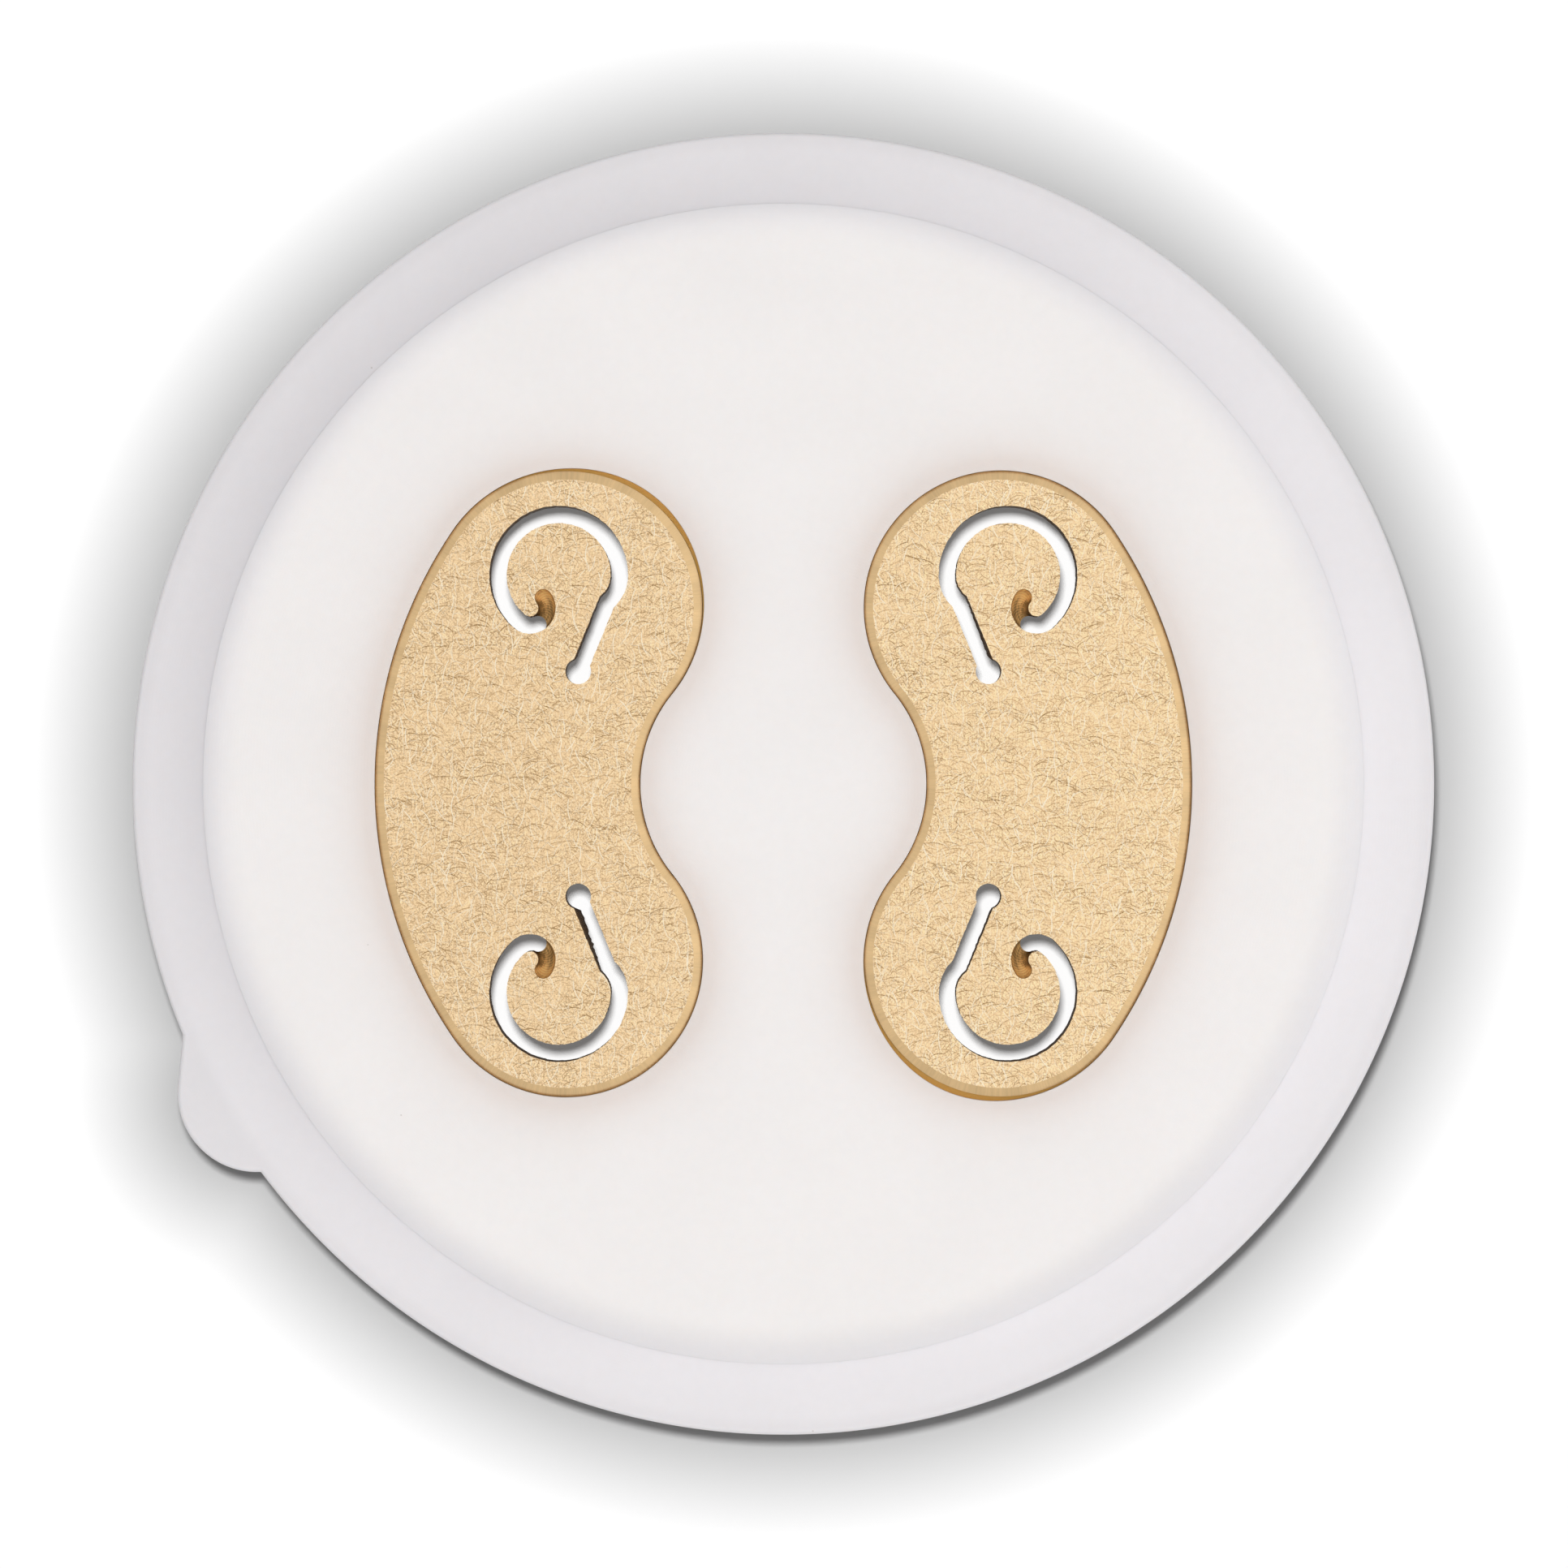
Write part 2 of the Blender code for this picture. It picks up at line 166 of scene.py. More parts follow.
class PASTADIE_PG_stage(bpy.types.PropertyGroup):
    """Camera, floor and light"""

    camera_distance: length("Camera Distance", "Distance of the camera from the front face", 0.53, 3)
    view_width: length("View Width", "Width of the picture at the front face", 108.3 * MM)
    view_shift_x: length("View Shift X", "Sideways place of the picture's centre", 0.045 * MM)
    view_shift_y: length("View Shift Y", "Upward place of the picture's centre", -0.011 * MM)
    floor_radius: length("Floor Radius", "Radius of the floor", 3.0, 2)
    floor_gap: length("Floor Gap", "Space from the die to the card and from there to the floor", 0.1 * MM)
    floor_passed: share("Floor Passed On", "How much light the floor passes on", 0.55)
    card_passed: share("Card Passed On", "How much light the card passes on", 0.4)
    floor_tone: share("Floor Tone", "How white the floor is in the picture", 0.785, 4.0)
    floor_near: share("Floor Near", "How much darker the floor is next to the die", 0.54)
    floor_reach: length("Floor Reach", "How far that soft shade reaches", 7.6 * MM)
    card_tone: share("Card Tone", "How white the card under the slots is", 0.81, 4.0)
    card_glow: share("Card Glow", "Brightness of the card where nothing lights it", 0.15, 4.0)
    sky: share("Sky", "Strength of the even light", 0.355, 4.0)
    studio: share("Studio", "Brightness of the surroundings that the brass mirrors", 1.03, 4.0)
    studio_right: share("Studio Right", "How much brighter they are to the right", 0.14)
    studio_ends: share("Studio Ends", "How much darker they are up and down", 0.36)
    box_height: length("Softbox Height", "Height of the softbox", 0.60, 3)
    box_size: length("Softbox Size", "Diameter of the softbox", 1.4, 3)
    box_right: length("Softbox Right", "Sideways place of the softbox", 0.45, 3)
    box_down: length("Softbox Down", "How far the softbox stands towards the viewer", 0.42, 3)
    box_power: power("Softbox Power", "Power of the softbox", 3.05)
    key_size: length("Key Size", "Diameter of the key lamp beside the camera", 0.03, 3)
    key_power: power("Key Power", "Power of the key lamp", 1.67)
    ring_left: length("Lens Light Left", "How far left of the lens its lamp is", 9.0 * MM)
    ring_up: length("Lens Light Up", "How far above the lens its lamp is", 27.5 * MM)
    ring_size: length("Lens Light Size", "Diameter of that lamp", 27.0 * MM)
    slot_left: length("Slot Light Left", "How far left of the lens the lamp for the slots is", 4.5 * MM)
    slot_up: length("Slot Light Up", "How far above the lens that lamp is", 20.0 * MM)
    slot_size: length("Slot Light Size", "Diameter of that lamp", 20.0 * MM)
    ring_power: power("Lens Light Power", "Power of either lamp", 3.0)


AXIS = (0.0, 0.0)


def polar(centre, radius, angle):
    """The point at an angle and a distance from a centre."""
    return (centre[0] + radius * cos(angle), centre[1] + radius * sin(angle))


def arc(centre, radius, start, end, steps):
    """Points along an arc, both ends included."""
    return [polar(centre, radius, start + (end - start) * i / steps) for i in range(steps + 1)]


def roughened(points, amount, dice):
    """Points moved at random by up to an amount each way."""
    return [(x + dice.uniform(-amount, amount), y + dice.uniform(-amount, amount)) for x, y in points]


def chords(radius, sweep, spacing=0.2 * MM):
    """How many chords of about the given spacing an arc takes."""
    return max(3, ceil(abs(sweep) * radius / spacing))


# Where each insert, left and right, sits off the edge of its pocket: which lobe, and the direction from it
WORN = {-1: (1, radians(52.0)), 1: (-1, radians(-112.0))}


class Kidney:
    """Outline of an insert: two round lobes, a waist arc about the axis and a flatter outer arc."""

    def __init__(self, sizes, side):
        self.side = side
        self.lobe = (sizes.lobe_pitch * cos(sizes.lobe_angle), sizes.lobe_pitch * sin(sizes.lobe_angle))
        self.lobe_angle = sizes.lobe_angle
        self.lobe_radius = sizes.lobe_radius
        self.outer = (-sizes.outer_setback, 0.0)
        self.outer_radius = hypot(self.lobe[0] + sizes.outer_setback, self.lobe[1]) + sizes.lobe_radius
        self.outer_half = asin(self.lobe[1] / (self.outer_radius - sizes.lobe_radius))
        self.waist_radius = sizes.lobe_pitch - sizes.lobe_radius

    def outline(self, offset):
        """Anticlockwise points of the outline, grown by an offset."""
        lobe_sweep = pi + self.lobe_angle - self.outer_half
        lobe_end = self.outer_half + lobe_sweep
        outer_steps = chords(self.outer_radius, 2.0 * self.outer_half)
        lobe_steps = chords(self.lobe_radius, lobe_sweep)
        waist_steps = chords(self.waist_radius, 2.0 * self.lobe_angle)
        low_lobe = (self.lobe[0], -self.lobe[1])
        lobe_r = self.lobe_radius + offset
        points = arc(self.outer, self.outer_radius + offset, -self.outer_half, self.outer_half, outer_steps)
        points += arc(self.lobe, lobe_r, self.outer_half, lobe_end, lobe_steps)[1:]
        points += arc(AXIS, self.waist_radius - offset, self.lobe_angle, -self.lobe_angle, waist_steps)[1:]
        points += arc(low_lobe, lobe_r, -lobe_end, -self.outer_half, lobe_steps)[1:-1]
        return [(self.side * x, y) for x, y in points[:: self.side]]

    def worn(self, offset, body):
        """The outline, pushed out where the insert sits off the edge of its pocket."""
        end, way = WORN[self.side]
        lobe = Vector((self.side * self.lobe[0], end * self.lobe[1]))
        place = lobe + Vector(polar(AXIS, self.lobe_radius, way))
        points = []
        for x, y in self.outline(offset):
            point = Vector((x, y))
            push = body.worn_gap * exp(-((point - place).length / body.worn_reach) ** 2)
            points.append(tuple(point + (point - lobe).normalized() * push))
        return points

    def distance(self, x, y):
        """Signed distance from the outline, negative inside."""
        x, y = self.side * x, abs(y)
        lobe_x, lobe_y = self.lobe
        from_lobe = hypot(x - lobe_x, y - lobe_y) - self.lobe_radius
        bearing = atan2(y, x)
        if bearing >= self.lobe_angle and hypot(x, y) < hypot(lobe_x, lobe_y) + self.lobe_radius:
            return from_lobe
        outer_bearing = atan2(y, x - self.outer[0])
        if outer_bearing > self.outer_half:
            return from_lobe
        from_waist = self.waist_radius - hypot(x, y)
        from_outer = hypot(x - self.outer[0], y) - self.outer_radius
        return max(from_waist, from_outer)


class Build:
    """A mesh put together from rings of points, walls between them and flat triangulated faces."""

    def __init__(self):
        self.bm = bmesh.new()
        self.uv = self.bm.loops.layers.uv.new("run")

    def ring(self, outline, z):
        return [self.bm.verts.new((x, y, z)) for x, y in outline]

    def face(self, verts, material=0, uvs=None):
        made = self.bm.faces.new(verts)
        made.material_index = material
        for i, loop in enumerate(made.loops):
            loop[self.uv].uv = uvs[i] if uvs else (loop.vert.co.x, loop.vert.co.y)
        return made

    def wall(self, low, high, material=0, closed=True):
        """Quads between two rings; the map holds the run along the low ring, for marks across it."""
        run = 0.0
        for i in range(len(low) if closed else len(low) - 1):
            j = (i + 1) % len(low)
            step = (low[j].co - low[i].co).length
            rise = (high[i].co - low[i].co).length
            uvs = ((run, 0.0), (run + step, 0.0), (run + step, rise), (run, rise))
            self.face((low[i], low[j], high[j], high[i]), material, uvs)
            run += step

    def stack(self, rings, materials=None):
        for i, (low, high) in enumerate(zip(rings, rings[1:])):
            self.wall(low, high, materials[i] if materials else 0)

    def sheet(self, outer, holes, z, up, extra=(), material=0, inside=None):
        """A flat face between rings that are there already, triangulated, with extra points inside it."""
        rings = [outer] + list(holes)
        verts = [v for ring in rings for v in ring]
        edges, start = [], 0
        for ring in rings:
            edges += [(start + i, start + (i + 1) % len(ring)) for i in range(len(ring))]
            start += len(ring)
        points = [Vector((v.co.x, v.co.y)) for v in verts] + [Vector(p) for p in extra]
        found = delaunay_2d_cdt(points, edges, [], 1, 1e-9)
        places, triangles, sources = found[0], found[2], found[3]
        made = []
        for place, source in zip(places, sources):
            known = [i for i in source if i < len(verts)]
            made.append(verts[known[0]] if known else self.bm.verts.new((place.x, place.y, z)))
        for corners in triangles:
            centre = sum((places[i] for i in corners), Vector((0.0, 0.0))) / len(corners)
            if inside and not inside(centre.x, centre.y):
                continue
            tri = [made[i] for i in corners]
            self.face(tri if up else tri[::-1], material)

    def finish(self, name, materials, sharp=35.0):
        bmesh.ops.remove_doubles(self.bm, verts=self.bm.verts, dist=1e-7)
        bmesh.ops.recalc_face_normals(self.bm, faces=self.bm.faces)
        mesh = bpy.data.meshes.new(name)
        self.bm.to_mesh(mesh)
        self.bm.free()
        for material in materials:
            mesh.materials.append(material)
        mesh.shade_smooth()
        mesh.set_sharp_from_angle(angle=radians(sharp))
        item = bpy.data.objects.new(name, mesh)
        bpy.context.scene.collection.objects.link(item)
        return item


def supported(profile):
    """A profile with extra points close to the ends of its long runs, so that they are shaded flat."""
    margin, long_run = 0.04 * MM, 0.32 * MM
    points = [profile[0]]
    for (r0, z0), (r1, z1) in zip(profile, profile[1:]):
        reach = hypot(r1 - r0, z1 - z0)
        if reach > long_run:
            step_r, step_z = (r1 - r0) * margin / reach, (z1 - z0) * margin / reach
            points += [(r0 + step_r, z0 + step_z), (r1 - step_r, z1 - step_z)]
        points.append((r1, z1))
    return points


def flat(ring):
    """A ring of corners as plain points."""
    return [(v.co.x, v.co.y) for v in ring]


def inside_polygon(x, y, polygon):
    """Whether a point lies inside a closed outline."""
    found = False
    for (x0, y0), (x1, y1) in zip(polygon, polygon[1:] + polygon[:1]):
        if (y0 > y) != (y1 > y) and x < x0 + (y - y0) * (x1 - x0) / (y1 - y0):
            found = not found
    return found


class RimOutline:
    """Radius of the flange at an angle: a circle with the locating tab on it."""

    def __init__(self, sizes):
        self.radius = sizes.flange_radius
        self.centre = Vector(polar(AXIS, sizes.tab_pitch, sizes.tab_angle))
        self.tab_round = sizes.tab_round
        self.flank = sizes.tab_angle - sizes.tab_flank
        self.normal = Vector((cos(self.flank), sin(self.flank)))
        self.reach = asin(sizes.tab_round / sizes.tab_pitch) * 2.0
        self.direction = sizes.tab_angle

    def angles(self):
        """Angles of the points of a ring, closer together round the tab."""
        coarse, fine = radians(0.5), radians(0.08)
        low, high = self.direction - self.reach, self.direction + self.reach
        angles, angle = [], high
        while angle < low + 2.0 * pi - 0.5 * coarse:
            angles.append(angle)
            angle += coarse
        count = ceil((high - low) / fine)
        return angles + [low + 2.0 * pi + (high - low) * i / count for i in range(count)]

    def at(self, angle, inset):
        """Radius of the rim at an angle, with the outline pulled in by an inset."""
        away = (angle - self.direction + pi) % (2.0 * pi) - pi
        if abs(away) > self.reach:
            return self.radius - inset
        ray = Vector((cos(angle), sin(angle)))
        tangent = self.centre + self.normal * (self.tab_round - inset)
        past = (atan2(tangent.y, tangent.x) - self.direction + pi) % (2.0 * pi) - pi
        if away < past:
            lobe = self.normal.dot(tangent) / self.normal.dot(ray)
        else:
            along = self.centre.dot(ray)
            rest = (self.tab_round - inset) ** 2 - self.centre.length_squared + along**2
            lobe = along + sqrt(rest) if rest > 0.0 else 0.0
        return max(self.radius - inset, lobe)


class Graph:
    """Short calls that put shader nodes together."""

    def __init__(self, tree):
        self.tree = tree

    def node(self, kind, values=None, **settings):
        made = self.tree.nodes.new(kind)
        for name, value in settings.items():
            setattr(made, name, value)
        self.fill(made, values or {})
        return made

    def fill(self, node, values):
        """Set inputs of a node: an output is linked, and anything else is set on the input itself."""
        for name, value in values.items():
            if isinstance(value, bpy.types.NodeSocket):
                self.tree.links.new(value, node.inputs[name])
            else:
                node.inputs[name].default_value = value

    def math(self, operation, *values):
        return self.node("ShaderNodeMath", dict(enumerate(values)), operation=operation).outputs[0]

    def plus(self, a, b):
        return self.math("ADD", a, b)

    def minus(self, a, b):
        return self.math("SUBTRACT", a, b)

    def times(self, a, b):
        return self.math("MULTIPLY", a, b)

    def larger(self, a, b):
        return self.math("MAXIMUM", a, b)

    def vector(self, operation, *values):
        made = self.node("ShaderNodeVectorMath", dict(enumerate(values)), operation=operation)
        return made.outputs["Value" if operation in ("LENGTH", "DISTANCE", "DOT_PRODUCT") else "Vector"]

    def scale(self, vector, factor):
        """A vector times a factor, which is the fourth input of its node."""
        return self.node("ShaderNodeVectorMath", {0: vector, 3: factor}, operation="SCALE").outputs[0]

    def axis(self, vector, which):
        return self.node("ShaderNodeSeparateXYZ", {0: vector}).outputs[which]

    def join(self, x, y):
        return self.node("ShaderNodeCombineXYZ", {0: x, 1: y}).outputs[0]

    def mix(self, factor, a, b, blend="MIX"):
        values = {0: factor, 6: a, 7: b}
        return self.node("ShaderNodeMix", values, data_type="RGBA", blend_type=blend).outputs[2]

    def ramp(self, value, low, high, to_low=0.0, to_high=1.0, smooth=True):
        values = {"Value": value, "From Min": low, "From Max": high, "To Min": to_low, "To Max": to_high}
        kind = "SMOOTHSTEP" if smooth else "LINEAR"
        return self.node("ShaderNodeMapRange", values, interpolation_type=kind).outputs[0]

    def noise(self, vector, scale, detail=2.0, roughness=0.5, dimensions="3D"):
        values = {"Vector": vector, "Scale": scale, "Detail": detail, "Roughness": roughness}
        return self.node("ShaderNodeTexNoise", values, noise_dimensions=dimensions).outputs[0]

    def streaks(self, vector, stretch, detail, roughness):
        """Flat noise that is finer along one axis than along the other."""
        return self.noise(self.vector("MULTIPLY", vector, stretch), 1.0, detail, roughness, "2D")

    def wave(self, value, pitch):
        return self.math("SINE", self.times(value, 2.0 * pi / pitch))

    def bump(self, strength, distance, height):
        values = {"Strength": strength, "Distance": distance, "Height": height}
        return self.node("ShaderNodeBump", values).outputs[0]

    def attribute(self, name):
        return self.node("ShaderNodeAttribute", attribute_name=name).outputs["Fac"]

    def millimetres(self):
        """The place on the piece in millimetres."""
        return self.scale(self.node("ShaderNodeTexCoord").outputs["Object"], 1.0 / MM)

    def chances(self, cells):
        """Three random numbers for each cell of a Voronoi texture."""
        return self.node("ShaderNodeSeparateColor", {0: cells["Color"]}).outputs


def new_material(name):
    material = bpy.data.materials.new(name)
    material.use_nodes = True
    graph = Graph(material.node_tree)
    return material, graph, material.node_tree.nodes["Principled BSDF"]


def rgba(values):
    return (values[0], values[1], values[2], 1.0)


FLAT = (1.0, 1.0, 0.0)
BLACK = (0.0, 0.0, 0.0, 1.0)
WHITE = (1.0, 1.0, 1.0, 1.0)
# The span in which most values of a noise lie
SPAN = (0.3, 0.7)


def acetal_material(look):
    """White plastic, turned and lightly blasted; the light bleeding in from the brass, the shade on the
    flange, crown and rim and the amber shade in the clearance are painted into its colour.
    """
    material, g, shader = new_material("white acetal")
    edge, rim = look.boss_radius / MM, look.flange_radius / MM
    place = g.millimetres()
    radius = g.vector("LENGTH", g.vector("MULTIPLY", place, FLAT))
    cloud = g.noise(place, 0.11, 3.0)
    mottle = g.noise(place, 1.4, 4.0, 0.6)
    tone = g.plus(g.ramp(cloud, *SPAN, -0.008, 0.008), g.ramp(mottle, *SPAN, -0.006, 0.006))
    shade = g.scale(look.acetal[:], g.plus(tone, 1.0))
    # painted light and shade: the plastic round the inserts is made warmer and darker, for light that the
    # brass colours inside it
    loss = g.scale(look.amber[:], g.attribute("glow"))
    shade = g.vector("MULTIPLY", shade, g.vector("SUBTRACT", (1.0, 1.0, 1.0), loss))

    # painted shade: the flange, which lies below the face, and the foot of the crown are darkened and
    # cooled in colour
    flange_shade = (0.915, 0.92, 0.95, 1.0)
    shade = g.mix(g.ramp(radius, edge - 2.7, edge + 0.2), shade, flange_shade, "MULTIPLY")
    crown_shade, rim_shade = 0.06, 0.05
    on_face = g.ramp(radius, edge, edge + 0.1, 1.0, 0.0)
    on_crown = g.times(g.ramp(radius, edge - 3.1, edge - 0.6, 0.0, crown_shade), on_face)
    low_down = g.ramp(g.axis(place, 1), -38.0, 15.0, 1.0, 0.0)
    on_rim = g.ramp(radius, rim - 1.4, rim - 0.2, 0.0, rim_shade)
    shade = g.mix(g.larger(g.times(on_crown, low_down), on_rim), shade, BLACK)
    # painted shade: amber colour down in the clearance between body and insert
    shade = g.mix(g.attribute("gap_shade"), shade, rgba(look.gap_shade))

    speck_colour, speck_share, speck_radius = (0.45, 0.40, 0.36, 1.0), 0.14, 0.035
    spots = {"Vector": place, "Scale": 0.42}
    cells = g.node("ShaderNodeTexVoronoi", spots, voronoi_dimensions="3D").outputs
    chosen = g.math("GREATER_THAN", g.chances(cells)[0], 1.0 - speck_share)
    speck = g.times(g.ramp(cells["Distance"], 0.5 * speck_radius, speck_radius, 1.0, 0.0), chosen)
    shade = g.mix(g.times(speck, 0.5), shade, speck_colour)

    turning_pitch, turning_wobble = 0.22, 0.35
    wobble = g.times(g.noise(place, 0.6, 2.0), turning_wobble)
    groove = g.wave(g.plus(radius, wobble), turning_pitch)
    grain = g.noise(place, 9.0, 3.0, 0.6)
    height = g.plus(g.times(groove, 0.12), g.times(grain, 0.9))
    g.fill(shader, {
        "Base Color": shade,
        "Roughness": g.ramp(mottle, *SPAN, 0.42, 0.52),
        "IOR": 1.48,
        "Specular IOR Level": 0.35,
        "Subsurface Weight": 0.35,
        "Subsurface Radius": (1.0, 0.85, 0.75),
        "Subsurface Scale": look.depth_of_light,
        "Normal": g.bump(0.25, 0.016 * MM, height),
    })
    return material


def scribble_group():
    """A layer of short curved scratches: two arcs through each random cell."""
    tree = bpy.data.node_groups.new("scribble", "ShaderNodeTree")
    for name in ("Vector", "Cell", "Radius", "Width", "Direction", "Spread", "Seed"):
        kind = "NodeSocketVector" if name == "Vector" else "NodeSocketFloat"
        tree.interface.new_socket(name=name, in_out="INPUT", socket_type=kind)
    tree.interface.new_socket(name="Mark", in_out="OUTPUT", socket_type="NodeSocketFloat")
    g = Graph(tree)
    entry = g.node("NodeGroupInput").outputs
    shift = g.join(g.times(entry["Seed"], 17.3), g.times(entry["Seed"], 31.7))
    place = g.vector("MULTIPLY", g.vector("ADD", entry["Vector"], shift), FLAT)
    spots = {"Vector": place, "Scale": g.math("DIVIDE", 1.0, entry["Cell"])}
    cells = g.node("ShaderNodeTexVoronoi", spots, voronoi_dimensions="2D").outputs
    chance = g.chances(cells)
    fade = g.ramp(cells["Distance"], 0.38, 0.72, 1.0, 0.0)
    marks = []
    for first, second, third, apart in ((0, 1, 2, 0.0), (2, 0, 1, 0.55)):
        swing = g.times(g.minus(chance[first], 0.5), entry["Spread"])
        bearing = g.plus(entry["Direction"], swing)
        radius = g.times(entry["Radius"], g.ramp(chance[third], 0.0, 1.0, 0.6, 1.5, smooth=False))
        reach = g.plus(radius, g.times(entry["Cell"], apart))
        away = g.scale(g.join(g.math("COSINE", bearing), g.math("SINE", bearing)), reach)
        centre = g.vector("ADD", cells["Position"], away)
        off = g.math("ABSOLUTE", g.minus(g.vector("DISTANCE", place, centre), radius))
        line = g.ramp(off, g.times(entry["Width"], 0.2), entry["Width"], 1.0, 0.0)
        marks.append(g.times(line, g.ramp(chance[second], 0.0, 1.0, 0.2, 1.0, smooth=False)))
    g.node("NodeGroupOutput", {0: g.times(g.larger(*marks), fade)})
    return tree


SCRATCHES = (
    # bright or dark, cell, radius, width, direction, spread, strength, all lengths in millimetres
    ("bright", 1.60, 2.2, 0.050, 0.0, 1.0, 0.9),
    ("bright", 1.25, 1.8, 0.048, 3.14, 1.2, 0.9),
    ("bright", 0.90, 1.5, 0.044, 0.0, 2.4, 0.75),
    ("bright", 0.66, 1.0, 0.040, 3.14, 6.283, 0.65),
    ("dark", 1.50, 1.9, 0.050, -1.57, 0.8, 1.0),
    ("dark", 1.15, 1.4, 0.050, -1.57, 1.0, 1.0),
    ("dark", 0.88, 1.3, 0.046, -1.57, 1.2, 1.0),
    ("dark", 0.66, 1.0, 0.044, -1.57, 2.0, 0.9),
    ("dark", 0.52, 0.8, 0.042, 0.0, 6.283, 0.8),
    ("dark", 0.42, 0.6, 0.040, 0.0, 6.283, 0.7),
)


def brass_face_material(look):
    """Sanded brass: short curved scratches, bright and dark, over a fine brushed grain."""
    material, g, shader = new_material("sanded brass")
    hatch_pitch, hatch_way = 0.25, (1.0, 0.8, 0.0)
    place = g.millimetres()
    group = scribble_group()
    marks = {"bright": 0.0, "dark": 0.0}
    for seed, (kind, cell, radius, width, direction, spread, strength) in enumerate(SCRATCHES, 1):
        values = {
            "Vector": place, "Cell": cell, "Radius": radius, "Width": width,
            "Direction": direction, "Spread": spread, "Seed": float(seed),
        }
        layer = g.node("ShaderNodeGroup", values, node_tree=group).outputs[0]
        marks[kind] = g.larger(marks[kind], g.times(layer, strength))

    grain = g.noise(place, 8.5, 3.0, 0.75, "2D")
    brushed = g.streaks(place, (9.0, 0.9, 1.0), 2.0, 0.6)
    worn = g.ramp(g.streaks(place, (0.28, 0.55, 1.0), 3.0, 0.55), 0.38, 0.62, 0.75, 1.15)
    pits = g.times(g.ramp(grain, 0.34, 0.60, -0.30, 0.10), worn)
    hatch = g.wave(g.vector("DOT_PRODUCT", place, hatch_way), hatch_pitch)
    hatched = g.times(hatch, g.ramp(g.noise(place, 0.22, 1.0, 0.5, "2D"), 0.44, 0.62, 0.0, 0.055))
    tone = g.plus(g.plus(pits, hatched), g.ramp(brushed, *SPAN, -0.07, 0.07))
    # painted light: the brass is made brighter towards the right and darker towards the left, as the light
    # is stronger from the right
    tone = g.plus(tone, g.ramp(g.axis(place, 0), -20.0, 20.0, -0.03, 0.05, smooth=False))
    shade = g.scale(look.brass[:], g.plus(tone, 1.0))
    broken = g.times(g.ramp(grain, 0.40, 0.56, 1.0, 0.75), worn)
    shade = g.mix(g.times(marks["dark"], broken), shade, rgba(look.dark))
    shade = g.mix(marks["bright"], shade, rgba(look.bright))
    rough = g.times(g.plus(marks["dark"], g.times(grain, 0.4)), 0.2)
    g.fill(shader, {
        "Base Color": shade,
        "Metallic": 1.0,
        "Roughness": g.plus(0.36, rough),
        "Normal": g.bump(0.35, 0.006 * MM, grain),
    })
    return material


def brass_edge_material(name, tint, streak, contrast, roughness, metallic):
    """Milled brass with fine marks across the run of the edge, streak of them to the millimetre."""
    material, g, shader = new_material(name)
    run = g.node("ShaderNodeUVMap", uv_map="run").outputs[0]
    marks = g.streaks(run, (streak / MM, 0.4 / MM, 0.0), 3.0, 0.65)
    broad = g.streaks(run, (0.5 / MM, 0.1 / MM, 0.0), 2.0, 0.5)
    tone = g.plus(g.ramp(marks, 0.25, 0.75, -contrast, contrast), g.ramp(broad, *SPAN, -0.06, 0.06))
    g.fill(shader, {
        "Base Color": g.scale(tint[:], g.plus(tone, 1.0)),
        "Metallic": metallic,
        "Roughness": g.ramp(marks, *SPAN, roughness - 0.06, roughness + 0.08),
        "Normal": g.bump(0.4, 0.006 * MM, marks),
    })
    return material


def ramp_material(look):
    """Brass of the blind ramp: marks of the tool, with painted shade along its inner side and more of it
    the deeper they lie.
    """
    material, g, shader = new_material("blind ramp brass")
    mark_pitch, mark_wander = 0.17 * MM, 0.05 * MM
    run = g.node("ShaderNodeUVMap", uv_map="run").outputs[0]
    streaks = g.streaks(run, (6.0, 0.9 / MM, 0.0), 3.0, 0.6)
    marks = g.wave(g.plus(g.axis(run, 1), g.times(streaks, mark_wander)), mark_pitch)
    face_z = FRONT_Z / MM
    # painted shade: darker the deeper the ramp lies, and darker along its inner side
    deep = g.ramp(g.axis(g.millimetres(), 2), face_z - 3.0, face_z - 0.9, 0.8, 1.0)
    tone = g.times(deep, g.ramp(g.axis(run, 0), 0.0, 0.40, 0.20, 1.0))
    tone = g.times(tone, g.plus(g.ramp(streaks, 0.35, 0.65, 0.62, 1.3), g.times(marks, 0.16)))
    g.fill(shader, {
        "Base Color": g.scale(look.ramp[:], tone),
        "Metallic": 0.35,
        "Roughness": 0.42,
        "Normal": g.bump(0.4, 0.02 * MM, marks),
    })
    return material


